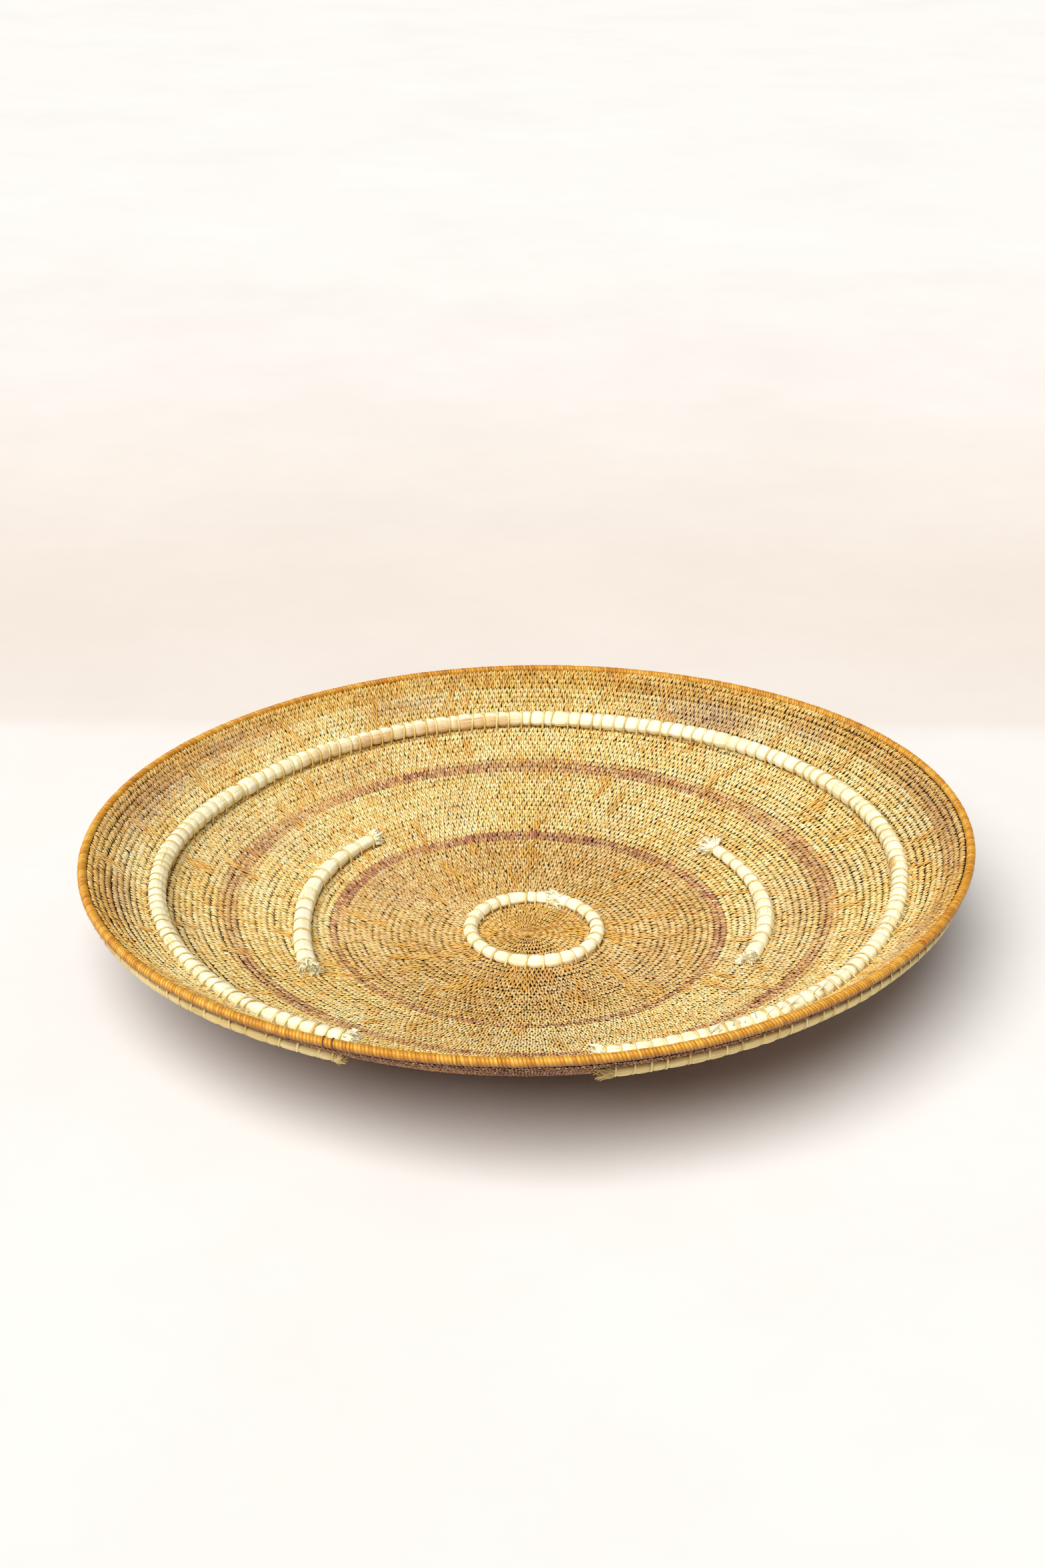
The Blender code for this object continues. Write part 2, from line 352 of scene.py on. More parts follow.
def new_tree(name, **inputs):
    """A Geometry Nodes tree with named inputs; returns the tree and its input sockets."""
    tree = bpy.data.node_groups.new(name, "GeometryNodeTree")
    tree.interface.new_socket("Geometry", in_out="INPUT", socket_type="NodeSocketGeometry")
    tree.interface.new_socket("Geometry", in_out="OUTPUT", socket_type="NodeSocketGeometry")
    for key, value in inputs.items():
        kind = "NodeSocketInt" if isinstance(value, int) else "NodeSocketFloat"
        made = tree.interface.new_socket(key, in_out="INPUT", socket_type=kind)
        made.default_value = value
    tree.interface.new_socket("Material", in_out="INPUT", socket_type="NodeSocketMaterial")
    return tree, tree.nodes.new("NodeGroupInput").outputs


def read(tree, name, kind="FLOAT_VECTOR"):
    """A named attribute of the seats."""
    made = add(tree, "GeometryNodeInputNamedAttribute", {"Name": name}, data_type=kind)
    return made.outputs["Attribute"]


def store(tree, geometry, name, value, kind, domain):
    """Write a named attribute for the material."""
    return add(
        tree,
        "GeometryNodeStoreNamedAttribute",
        {"Geometry": geometry, "Name": name, "Value": value},
        data_type=kind,
        domain=domain,
    ).outputs[0]


def prism(tree, sides, segments):
    """A unit tube along Z, and its x, y and z."""
    tube = add(
        tree,
        "GeometryNodeMeshCylinder",
        {"Vertices": sides, "Side Segments": segments, "Radius": 1.0, "Depth": 1.0},
    ).outputs["Mesh"]
    place = add(tree, "ShaderNodeSeparateXYZ", {0: add(tree, "GeometryNodeInputPosition").outputs[0]})
    return tube, place.outputs


def formed(tree, tube, name, marks, target):
    """The tube with its points moved, after each has noted its marks for the material."""
    note = add(tree, "ShaderNodeCombineXYZ", dict(enumerate(marks))).outputs[0]
    noted = store(tree, tube, name, note, "FLOAT_VECTOR", "POINT")
    place = add(tree, "ShaderNodeCombineXYZ", dict(enumerate(target))).outputs[0]
    moved = add(tree, "GeometryNodeSetPosition", {"Geometry": noted, "Position": place}).outputs[0]
    return add(tree, "GeometryNodeSetShadeSmooth", {"Geometry": moved}).outputs[0]


def seat_copies(tree, group, form):
    """Copy a form to every seat, give each copy a tone, and make one real mesh of them."""
    turn = add(
        tree,
        "FunctionNodeAxesToRotation",
        {"Primary Axis": read(tree, "out"), "Secondary Axis": read(tree, "along")},
        primary_axis="Z",
        secondary_axis="Y",
    ).outputs[0]
    seats = {"Points": group["Geometry"], "Rotation": turn, "Scale": read(tree, "size")}
    copies = add(tree, "GeometryNodeInstanceOnPoints", {"Instance": form, **seats}).outputs[0]
    tone = add(tree, "FunctionNodeRandomValue", {"Seed": group["Seed"]}, data_type="FLOAT").outputs[1]
    toned = store(tree, copies, "tone", tone, "FLOAT", "INSTANCE")
    real = add(tree, "GeometryNodeRealizeInstances", {"Geometry": toned}).outputs[0]
    coloured = add(
        tree, "GeometryNodeSetMaterial", {"Geometry": real, "Material": group["Material"]}
    ).outputs[0]
    end = tree.nodes.new("NodeGroupOutput")
    tree.links.new(coloured, end.inputs[0])
    return tree


# %% [markdown]
# ## One strand
# Two strands side by side make a stitch. Each is widest and highest in its middle. Its inner
# end dives deepest, under the row inside it.

# %% The stitch tree
PRISM_HALF = math.sqrt(3) / 2
STRAND_WIDTH = 0.0021
STRAND_LENGTH = ROW * 1.34


def stitch_tree():
    """A strand that swells in its middle and dives at both ends."""
    sizes = {"Length": STRAND_LENGTH, "Width": STRAND_WIDTH, "Arch": 0.0008, "Crown": 0.0004}
    tree, group = new_tree("Stitches", **sizes, Sink=0.0014, Seed=1)
    tube, (x, y, z) = prism(tree, 3, 3)
    across = calc(tree, "DIVIDE", y, PRISM_HALF)
    ridge = calc(tree, "DIVIDE", calc(tree, "ADD", x, 0.5), 1.5)
    middle = calc(tree, "SUBTRACT", 1.0, calc(tree, "POWER", times(tree, z, 2.0), 2.0))
    swell = calc(tree, "MULTIPLY_ADD", middle, 0.48, 0.52)
    half = times(tree, times(tree, group["Width"], 0.5), swell)
    arch = times(tree, group["Arch"], calc(tree, "POWER", middle, 0.7))
    dive = times(tree, group["Sink"], calc(tree, "MULTIPLY_ADD", z, -0.8, 0.6))
    height = calc(tree, "MULTIPLY_ADD", ridge, group["Crown"], calc(tree, "SUBTRACT", arch, dive))
    bent = (times(tree, across, half), times(tree, z, group["Length"]), height)
    return seat_copies(tree, group, formed(tree, tube, "grain", (across, z, ridge), bent))


sewing = stitch_tree()
print("stitch tree nodes", len(sewing.nodes))

# %% [markdown]
# ## From seats to a finished piece
# The modifier gets its inputs by each socket's identifier. When the mesh has been evaluated it
# is copied into a plain mesh, and the modifier goes away with its carrier object.

# %% Seats and growing


def carry(mesh, **attributes):
    """Give the points of a mesh what a tree or a material reads."""
    for key, values in attributes.items():
        values = np.asarray(values, np.float32)
        kind, field = ("FLOAT_VECTOR", "vector") if values.ndim == 2 else ("FLOAT", "value")
        mesh.attributes.new(key, kind, "POINT").data.foreach_set(field, values.ravel())


def seats_mesh(name, places, **attributes):
    """Loose points that carry what the tree reads."""
    mesh = bpy.data.meshes.new(name)
    mesh.vertices.add(len(places))
    mesh.vertices.foreach_set("co", np.asarray(places, np.float32).ravel())
    carry(mesh, **attributes)
    return mesh


def grow(name, tree, mesh, material, **inputs):
    """Run a tree on a mesh and keep its result as a plain object."""
    carrier = bpy.data.objects.new(name + "_seats", mesh)
    bpy.context.scene.collection.objects.link(carrier)
    modifier = carrier.modifiers.new("grow", "NODES")
    modifier.node_group = tree
    for item in tree.interface.items_tree:
        if item.item_type == "SOCKET" and item.in_out == "INPUT":
            if item.name in inputs:
                modifier[item.identifier] = inputs[item.name]
            elif item.name == "Material":
                modifier[item.identifier] = material
    graph = bpy.context.evaluated_depsgraph_get()
    plain = bpy.data.meshes.new_from_object(
        carrier.evaluated_get(graph), preserve_all_data_layers=True, depsgraph=graph
    )
    bpy.data.objects.remove(carrier)
    plain.name = name
    made = bpy.data.objects.new(name, plain)
    bpy.context.scene.collection.objects.link(made)
    return made


def keep(piece, slot, *nodes):
    """Ride on the basket and stand for the plain nodes. The slot is not used."""
    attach(piece, "root")
    if nodes:
        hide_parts(*nodes)
    print(piece.name, sum(len(p.vertices) - 2 for p in piece.data.polygons), "triangles")


# %% [markdown]
# ## The grass coil inside
# Behind the stitches lies the grass of the coil. It shows only through the small gaps between
# them, in a near-black colour that is painted shade of the deep gaps, so a plain turned wall is
# enough for it. The first and last point of the outline lie on the axis and are shared, which
# closes the poles. Its outer face is drawn in, so that the stitches near the base can be bedded
# and the basket stands flat.

# %% The coil's grass
GRASS_DEPTH = 0.0016
BEDDED = 0.0011
BEDDED_UP_TO = (0.09, 0.14)
WALL_EDGE = 0.2745
GRASS_SEGMENTS = 240


def plain_object(name, points, faces, material):
    """An object from points and faces."""
    mesh = bpy.data.meshes.new(name)
    mesh.from_pydata([tuple(p) for p in points], [], [tuple(f) for f in faces])
    mesh.materials.append(material)
    mesh.shade_smooth()
    made = bpy.data.objects.new(name, mesh)
    bpy.context.scene.collection.objects.link(made)
    return made


def turned(name, outline, segments, material):
    """A closed surface of revolution that follows the basket's uneven shape."""
    angles = np.arange(segments) * 2 * math.pi / segments
    rings = [surface(radius, angles, lift) for radius, lift in outline[1:-1]]
    points = [surface(0.0, 0.0, outline[0][1]), *np.concatenate(rings), surface(0.0, 0.0, outline[-1][1])]
    faces = []
    last = len(points) - 1
    for j in range(segments):
        k = (j + 1) % segments
        faces.append((0, 1 + j, 1 + k))
        for i in range(len(rings) - 1):
            low, high = 1 + i * segments, 1 + (i + 1) * segments
            faces.append((low + j, high + j, high + k, low + k))
        faces.append((last, last - segments + k, last - segments + j))
    return plain_object(name, points, faces, material)


def grass_gap_shadow_material():
    """Grass in near-black painted shade for the gaps between stitches, finely mottled."""
    made, tree, shader = new_material("coil_grass_gap_shadow", 0.85)
    blades = noise(tree, object_place(tree), 900.0)
    # Painted shade: near-black tones that darken the gaps between the stitches.
    colour = ramp(tree, blades, (0.35, srgb(14, 9, 6)), (0.7, srgb(44, 28, 14)))
    finish_shader(tree, shader, colour, blades, 0.5, 0.0004)
    return made


gap_shadow_grass = grass_gap_shadow_material()
wall_radii = radius_of(np.arange(1, row_at(WALL_EDGE), 1.0))
outline = [(0.0, -GRASS_DEPTH)] + [(r, -GRASS_DEPTH) for r in wall_radii]
outer_lift = GRASS_DEPTH + BEDDED - WALL
outline += [(WALL_EDGE, -GRASS_DEPTH), (WALL_EDGE, outer_lift)]
outline += [(r, outer_lift) for r in wall_radii[::-1]] + [(0.0, outer_lift)]
keep(turned("coil_grass_gap_shadow", outline, GRASS_SEGMENTS, gap_shadow_grass), "grass_core")

# %% [markdown]
# ## Where the splints were joined
# When a strip of root runs out, the maker starts a new one, and the fresh ends lie across a
# few rows as longer, brighter stitches. They line up in short slanting streaks. Each streak is
# a starting row, an angle, a length in rows and a lean.

# %% Splice streaks
STREAKS = 150
streak_maker = np.random.default_rng(12)
STREAK_RANGES = ((4, row_at(WALL_EDGE) - 6), (0, 2 * math.pi), (3, 8), (-0.7, 0.2))
streaks = np.stack([streak_maker.uniform(*ends, STREAKS) for ends in STREAK_RANGES], axis=1)


def streak_share(row, angle, radius):
    """1 for stitches that lie on a streak, 0 elsewhere."""
    share = np.zeros(len(angle))
    for first, start, rows, lean in streaks:
        step = row - first
        if 0 <= step <= rows:
            middle = start + lean * step * ROW / max(radius, 0.02)
            off = np.abs((angle - middle + math.pi) % (2 * math.pi) - math.pi) * radius
            share = np.maximum(share, np.clip(1.1 - off / STITCH_PITCH, 0, 1))
    return share


# %% [markdown]
# ## Dyed rows
# Two bands were sewn with root dyed purple brown. A coil is a spiral, so a band that starts
# and ends anywhere lies a little off the centre. Each stitch asks how deep it is in a band, and
# the bands grow thin and pale in places, because the dye took unevenly. Weathered patches are
# listed as degrees, radius, their half sizes in degrees and along the radius, and depth.

# %% Where the dye is
INNER_DYE = (0.1225, 0.1310)
OUTER_DYE = (0.1875, 0.1990)


def dye_share(radius, angle):
    """1 inside a dyed band, 0 outside, lower where the band is pale."""
    inner_middle = sum(INNER_DYE) / 2 - 0.0040 * np.sin(angle) - 0.0008 * np.cos(angle)
    inner_half = (INNER_DYE[1] - INNER_DYE[0]) / 2
    inner = np.clip(2.2 - 2 * np.abs(radius - inner_middle) / inner_half, 0, 1)
    inner = inner * (0.88 + 0.12 * np.cos(angle - 1.6) + 0.06 * np.sin(5 * angle))
    pale = 0.62 - 0.12 * np.cos(2 * angle) + 0.16 * np.sin(7 * angle) + 0.08 * np.sin(23 * angle)
    outer_half = (OUTER_DYE[1] - OUTER_DYE[0]) / 2 * (1.0 + 0.15 * np.sin(5 * angle))
    outer = np.clip(2.0 - 1.6 * np.abs(radius - sum(OUTER_DYE) / 2) / outer_half, 0, 1)
    return np.clip(np.maximum(inner, outer * pale), 0, 1)


WEATHERED = (
    (58, 0.252, 9, 0.013, 0.9),
    (40, 0.262, 6, 0.008, 0.5),
    (146, 0.264, 10, 0.008, 0.7),
    (166, 0.262, 14, 0.010, 0.8),
    (194, 0.258, 10, 0.009, 0.6),
    (6, 0.266, 22, 0.008, 0.7),
    (-28, 0.262, 12, 0.009, 0.6),
    (112, 0.255, 8, 0.008, 0.5),
    (-95, 0.160, 30, 0.020, 0.35),
    (128, 0.212, 12, 0.008, 0.4),
)


def worn_share(radius, angle):
    """How weathered each stitch is."""
    share = np.zeros(len(angle))
    for degrees, middle, turn, reach, depth in WEATHERED:
        off = angle_off(np.degrees(angle), degrees) / turn
        patch = np.exp(-(off**2) - ((radius - middle) / reach) ** 2)
        share = np.maximum(share, depth * patch)
    return share


# %% [markdown]
# ## Sewing
# The rows of a block share one number of stitches, and every other row is shifted by half a
# stitch, as in a brick wall. Near the middle each row has a number of its own. The two strands
# of a stitch lean apart. Small random changes keep the rows from looking drawn by machine.

# %% Sew every row
LEAN = math.radians(10)
LEAN_CHANGE = math.radians(4)
SPREAD = math.radians(11.5)
HAND_OFFSET = 0.205
BLOCK = 7
BLOCK_SHIFT = 0.37
ROW_WAVES = ((3, 0.7, 0.09), (11, 1.9, 0.06))
BED_LIFTS = (1.0, -0.3)
FRESH_FROM = 0.95


def sew_rows(first, last, side, seed):
    """Seats for the rows between two radii, on the inner (1) or outer (-1) face."""
    maker = np.random.default_rng(seed)
    found = {key: [] for key in ("place", "out", "along", "size", "gold", "dye", "worn")}
    for row in range(round(row_at(first)), round(row_at(last))):
        middle = float(radius_of(row + 0.5))
        block = row // BLOCK if row > 2 * BLOCK else row / BLOCK
        block_radius = float(radius_of((block + 0.5) * BLOCK))
        count = max(5, round(2 * math.pi * block_radius / STITCH_PITCH))
        shift = (row % 2) * 0.5 + block * BLOCK_SHIFT
        angle = (np.arange(count) + shift + maker.normal(0, 0.05, count)) * 2 * math.pi / count
        pitch = 2 * math.pi * middle / count
        wander = sum(high * np.sin(n * angle + row * step) for n, step, high in ROW_WAVES)
        gold = streak_share(row, angle, middle)
        bed = BEDDED * float(np.interp(middle, BEDDED_UP_TO, BED_LIFTS))
        for hand in (-1, 1):
            turned = angle + hand * HAND_OFFSET * pitch / middle
            radius = radius_of(row + 0.5 + wander + maker.normal(0, 0.04, count))
            normal, up_wall = directions(radius, turned)
            lean = (LEAN - hand * SPREAD + maker.normal(0, LEAN_CHANGE, count))[:, None]
            sideways = np.cross(normal, up_wall)
            lift = maker.normal(0, 0.00012, count) + 0.0004 * gold
            width = (pitch / STITCH_PITCH) * maker.normal(1.0, 0.08, count) * (1 - 0.15 * gold)
            length = maker.normal(1.0, 0.07, count) * (1 + 0.8 * gold)
            dye = dye_share(radius, angle) * np.clip(maker.normal(0.78, 0.42, count), 0, 1)
            fresh = (maker.uniform(0, 1, count) > FRESH_FROM) * maker.uniform(0.3, 0.8, count)
            seats = {
                "place": surface(radius, turned, lift if side > 0 else bed - WALL - lift),
                "out": normal * side,
                "along": up_wall * np.cos(lean) - sideways * np.sin(lean),
                "size": np.stack([width, length, np.ones(count)], axis=1),
                "gold": np.clip(0.9 * gold + fresh, 0, 1),
                "dye": dye,
                "worn": worn_share(radius, angle),
            }
            for key, values in seats.items():
                found[key].append(values)
    joined = {key: np.concatenate(values) for key, values in found.items()}
    return seats_mesh("seats", joined.pop("place"), **joined)


START_RADIUS = 0.036
INNER_ROWS = (0.1215, 0.1300)
OUTER_ROWS = (0.1880, 0.2005)
UPPER_HALF = 0.2320
ROPE_ZONE = 0.2620
RUNS = (
    ("start", 0.0015, START_RADIUS, golden, "golden_splint", "start_coil"),
    ("floor", START_RADIUS, INNER_ROWS[0], floor_splint, "natural_splint", "floor_coils"),
    ("inner_dyed", *INNER_ROWS, dyed, "dyed_splint", "inner_dyed_coils"),
    ("lower_wall", INNER_ROWS[1], OUTER_ROWS[0], natural, "natural_splint", "lower_wall_coils"),
    ("outer_dyed", *OUTER_ROWS, dyed, "dyed_splint", "outer_dyed_coils"),
    ("upper_wall_low", OUTER_ROWS[1], UPPER_HALF, natural, "natural_splint", "upper_wall_coils"),
    ("upper_wall_high", UPPER_HALF, ROPE_ZONE, natural, "natural_splint", "upper_wall_coils"),
    ("flare", ROPE_ZONE, WALL_EDGE, worn_splint, "weathered_splint", "flare_coils"),
)
for index, (name, first, last, material, slot, node) in enumerate(RUNS):
    for side, face in ((1, "inside"), (-1, "outside")):
        seats = sew_rows(first, last, side, 100 + 2 * index + (side > 0))
        skin = material if side > 0 else outside
        piece = grow(f"{name}_stitches_{face}", sewing, seats, skin, Seed=index * 7 + side + 1)
        keep(piece, slot, node)

# %% [markdown]
# ## The wrapped rim
# The last coil is wrapped so closely that no grass shows. Each wrap is a strap bent round the
# coil: the same prism idea as the stitches, but rolled round a circle. The cords that sew the
# straw ropes down are rolled in the same way, with feet that run out on to the wall.

# %% The strap tree


def rolled(tree, group, tube, turn, reach, slide):
    """A strand rolled round its seat's along direction, ready on every seat."""
    mesh, (x, y, z) = tube
    out = calc(tree, "MULTIPLY_ADD", times(tree, x, 0.5), group["Thickness"], reach)
    sine, cosine = (calc(tree, kind, turn) for kind in ("SINE", "COSINE"))
    bent = (times(tree, out, sine), slide, times(tree, out, cosine))
    return seat_copies(tree, group, formed(tree, mesh, "grain", (y, z, x), bent))


def strap_tree():
    """A flat strap that goes nearly all the way round."""
    sizes = {"Radius": 0.0024, "Sweep": 5.4, "Width": 0.0027, "Thickness": 0.0012}
    tree, group = new_tree("Straps", **sizes, Lean=0.0007, Seed=1)
    tube = prism(tree, 6, 14)
    _, y, z = tube[1]
    turn = times(tree, z, group["Sweep"])
    lean = times(tree, group["Lean"], turn)
    slide = calc(tree, "MULTIPLY_ADD", times(tree, y, -0.5), group["Width"], lean)
    return rolled(tree, group, tube, turn, group["Radius"], slide)


def lashing_tree():
    """A cord over a rope whose two feet spread on to the wall."""
    sizes = {"Radius": 0.0055, "Width": 0.0015, "Thickness": 0.0008, "Foot": 0.75}
    tree, group = new_tree("Lashings", **sizes, Seed=1)
    tube = prism(tree, 6, 14)
    _, y, z = tube[1]
    past_top = calc(tree, "SUBTRACT", calc(tree, "ABSOLUTE", z), 0.26)
    late = calc(tree, "POWER", calc(tree, "MAXIMUM", times(tree, past_top, 4.2), 0.0), 2.0)
    reach = calc(tree, "MULTIPLY_ADD", late, group["Foot"], 1.0)
    slide = times(tree, times(tree, y, -0.5), group["Width"])
    return rolled(tree, group, tube, times(tree, z, 4.4), times(tree, group["Radius"], reach), slide)


# Painted shade for the underside of a wrap and for the grooves between wraps; the third colour is the
# worn fibre tone.
WRAP_UNDERSIDE_SHADE, GROOVE_SHADE, WORN_FIBRE = tones((132, 72, 34), (112, 62, 20), (196, 174, 140))


def glossy_splint(name, colours, roughness, variety=0.5, underside_shade_share=0.0):
    """Splint worn smooth by hands: fibres along each strap, a soft shine, painted shade underneath and in
    the grooves at its edges.
    """
    made, tree, shader = new_material(name, roughness)
    across, along, tone, fibres = fibre_parts(tree, (3.0, 2.0, 70.0), 1.5)
    patches = times(tree, noise(tree, object_place(tree), 22.0, 4.0, 0.6), 1 - variety)
    mixed = calc(tree, "MULTIPLY_ADD", tone, variety, patches)
    base = ramp(tree, mixed, *zip((0.22, 0.48, 0.78), tones(*colours)))
    # Painted shade on the underside of each wrap, as deep as the underside share asks.
    below_shade = ramp(tree, calc(tree, "ADD", along, 0.5), (0.53, BLACK), (0.78, WHITE))
    base = mix_colours(tree, times(tree, below_shade, underside_shade_share), base, WRAP_UNDERSIDE_SHADE)
    fibre_tint = ramp(tree, fibres, (0.3, WORN_FIBRE), (0.65, WHITE))
    base = mix_colours(tree, 0.6, base, fibre_tint, "MULTIPLY")
    # Painted shade in the grooves along both edges of each strap.
    edge_shade = calc(tree, "POWER", calc(tree, "ABSOLUTE", across), 4.0)
    base = mix_colours(tree, times(tree, edge_shade, 0.4), base, GROOVE_SHADE)
    rough = calc(tree, "MULTIPLY_ADD", fibres, 0.3, roughness - 0.15)
    finish_shader(tree, shader, base, fibres, 0.3, 0.0002, rough)
    return made


straps = strap_tree()
lashings = lashing_tree()
RIM_TONES = ((176, 108, 20), (222, 156, 42), (248, 200, 86))
rim_splint = glossy_splint("rim_splint", RIM_TONES, 0.30, 0.30, 1.0)

# %% [markdown]
# ## Round the rim
# The wraps are evenly spaced. Each is turned a little and has a slightly different size, and
# the core of the plain model stays inside them, in the grass's near-black painted shade.

# %% Wrap the rim
RIM_WRAPS = 780
WRAP_CHANGES = (0.025, 0.08, 0.025)
angles = np.arange(RIM_WRAPS) * 2 * math.pi / RIM_WRAPS
rim_centre = surface(RIM_RADIUS, angles, -WALL / 2)
normal, up_wall = directions(np.full(RIM_WRAPS, RIM_RADIUS), angles)
wrap_maker = np.random.default_rng(5)
wraps = seats_mesh(
    "wraps",
    rim_centre,
    out=up_wall,
    along=np.cross(normal, up_wall) + up_wall * wrap_maker.normal(0, 0.02, RIM_WRAPS)[:, None],
    size=np.stack([wrap_maker.normal(1.0, by, RIM_WRAPS) for by in WRAP_CHANGES], axis=1),
)
keep(grow("rim_wraps", straps, wraps, rim_splint, Seed=3), "rim_splint", "rim_binding")
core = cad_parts["rim_core"]
core.data.materials.clear()
# The core takes the near-black painted shade, for the gaps between the wraps.
core.data.materials.append(gap_shadow_grass)

# %% [markdown]
# ## Straw ropes
# A straw rope is a bundle of long stems. Its skin is drawn in where the sewing cord bites and
# swells between, with shallow ridges along its length where single stems lie. The rope follows
# the wall, so a route is worked out first: points along it with three directions each.

# %% A route along the wall
ROPE_STEP = 0.0011
ROUTE_SAMPLES = 900


def rope_route(radius_at, start, end, side, height):
    """Evenly spaced points along a rope: place, along, across and normal."""
    degrees = np.linspace(start, end, ROUTE_SAMPLES)
    angle = np.radians(degrees)
    lift = height if side > 0 else -WALL - height
    radius = radius_at(degrees)
    points = surface(radius, angle, lift)
    length = np.concatenate([[0.0], np.cumsum(np.linalg.norm(np.diff(points, axis=0), axis=1))])
    count = int(length[-1] / ROPE_STEP)
    even = np.interp(np.linspace(0, length[-1], count), length, degrees)
    radius, angle = radius_at(even), np.radians(even)
    place = surface(radius, angle, lift)
    normal = directions(radius, angle)[0] * side
    along = unit(np.gradient(place, axis=0))
    across = unit(np.cross(along, normal))
    return {
        "place": place,
        "along": along,
        "across": across,
        "normal": unit(np.cross(across, along)),
        "length": np.linspace(0, length[-1], count),
        "degrees": even,
    }


def shifted(radius, degrees, x, y):
    """A radius seen from the basket's centre when its own centre lies off it."""
    return radius + x * np.cos(np.radians(degrees)) + y * np.sin(np.radians(degrees))


CENTRE_RING_RADIUS = 0.0422
LEFT_ARC_RADIUS = 0.1510
RIGHT_ARC_RADIUS = 0.1575
INNER_RING_RADIUS = 0.2385
OUTER_RING_RADIUS = 0.2700
RING_WANDER = ((-124, 14, 0.0062), (-46, 16, 0.0045), (155, 20, -0.0035), (52, 18, 0.0025))
OUTER_RING_DROP = 0.0100
OUTER_RING_OPENING = -97
DROP_END = 13
DROP_REACH = (30, 48)


def centre_radius(degrees):
    """The small ring sits a little off the basket's centre."""
    radius = CENTRE_RING_RADIUS + 0.0035 * np.cos(np.radians(degrees - 55.0))
    return shifted(radius, degrees, 0.0018, -0.0012)


def left_radius(degrees):
    """The left arc leans outwards over its last stretch."""
    radius = LEFT_ARC_RADIUS + 0.0110 * np.maximum(0.0, (degrees - 180.0) / 31.0) ** 2
    return shifted(radius, degrees, 0.0028, -0.0020)


def right_radius(degrees):
    """The right arc curls inwards at its lower end."""
    radius = RIGHT_ARC_RADIUS - 0.0030 * np.maximum(0.0, -degrees / 26.0) ** 2
    return shifted(radius, degrees, -0.0016, -0.0055)


def inner_ring_radius(degrees):
    """The large ring wanders slightly, as it was sewn by eye."""
    radius = INNER_RING_RADIUS + 0.0008 * np.sin(np.radians(5 * degrees))
    for middle, reach, step in RING_WANDER:
        radius = radius + step * np.exp(-((angle_off(degrees, middle) / reach) ** 2))
    return shifted(radius, degrees, 0.0004, -0.0038)


def outer_ring_radius(degrees):
    """The ring under the wall runs close to the rim and drops away from it at both ends."""
    off = angle_off(degrees, OUTER_RING_OPENING)
    reach = np.where(off > 0, DROP_REACH[1], DROP_REACH[0])
    drop = np.clip((reach - np.abs(off)) / (reach - DROP_END), 0, 1)
    radius = OUTER_RING_RADIUS - OUTER_RING_DROP * drop * drop * (3 - 2 * drop)
    return radius + 0.0005 * np.sin(np.radians(4 * degrees + 40))


print("routes ready")

# %% [markdown]
# ## A skin over the stems
# The skin is a slightly flat tube of rings along the route, with ridges along it. Each stain
# has a middle and a half width in degrees, and a depth.

# %% The rope's skin
ROPE_SIDES = 30
FLATTEN = 0.80
SEAT = 0.62
PINCH = 0.20
PINCH_REACH = 0.0016
RIDGES = ((3, 0.022), (5, 0.022), (8, 0.020), (12, 0.020))
STAINS = ((99, 5, 0.8), (110, 5, 0.7), (120, 4, 0.8), (131, 4, 0.6), (-2, 1.2, 1.0))


def tube_faces(rings, sides):
    """Quads between rings of points, and a cap at each end."""
    faces = []
    for i in range(rings - 1):
        for j in range(sides):
            k = (j + 1) % sides
            faces.append((i * sides + j, i * sides + k, (i + 1) * sides + k, (i + 1) * sides + j))
    faces.append(tuple(range(sides))[::-1])
    faces.append(tuple((rings - 1) * sides + j for j in range(sides)))
    return faces


def rope_skin(name, route, radius, bites, thickness, material, seed):
    """The bundle's surface, drawn in at each bite of the cord."""
    maker = np.random.default_rng(seed)
    length = route["length"]
    turns = np.arange(ROPE_SIDES) * 2 * math.pi / ROPE_SIDES
    pinch = np.exp(-(((length[:, None] - bites[None]) / PINCH_REACH) ** 2)).sum(axis=1).clip(0, 1)
    size = radius * thickness * (1 - PINCH * pinch)
    plump = np.interp(length, bites, maker.normal(1.0, 0.035, len(bites)))
    size = size * plump * (1 + 0.02 * np.sin(length * 61 + maker.uniform(0, 6)))
    skin = np.ones((len(length), ROPE_SIDES))
    for ridges, depth in RIDGES:
        twist = maker.uniform(-14, 14)
        phase = maker.uniform(0, 2 * math.pi)
        sway = 0.8 * np.sin(length * maker.uniform(40, 90) + phase)[:, None]
        skin += depth * np.sin(ridges * turns[None] + twist * length[:, None] + sway + phase)
    reach = size[:, None] * skin
    up = np.cos(turns)[None] * reach * FLATTEN
    aside = np.sin(turns)[None] * reach
    points = (
        route["place"][:, None]
        + up[..., None] * route["normal"][:, None]
        + aside[..., None] * route["across"][:, None]
    )
    made = plain_object(name, points.reshape(-1, 3), tube_faces(len(length), ROPE_SIDES), material)
    marks = (np.sin(turns), np.cos(turns), length[:, None])
    strand = np.stack([np.broadcast_to(mark, reach.shape) for mark in marks], axis=-1)
    stain = np.repeat(stain_share(route["degrees"], name), ROPE_SIDES)
    carry(made.data, strand=strand.reshape(-1, 3), stain=stain)
    return made


def stain_share(degrees, name):
    """How brown the straw is along the large inner ring."""
    share = np.zeros(len(degrees))
    if name.startswith("inner_ring"):
        for middle, half, depth in STAINS:
            share = np.maximum(share, depth * np.clip(1.8 - np.abs(degrees - middle) / half, 0, 1))
    return share


STAIN_TONES = tones((168, 104, 40), (240, 200, 128))
STRAW_SHARE = 0.7


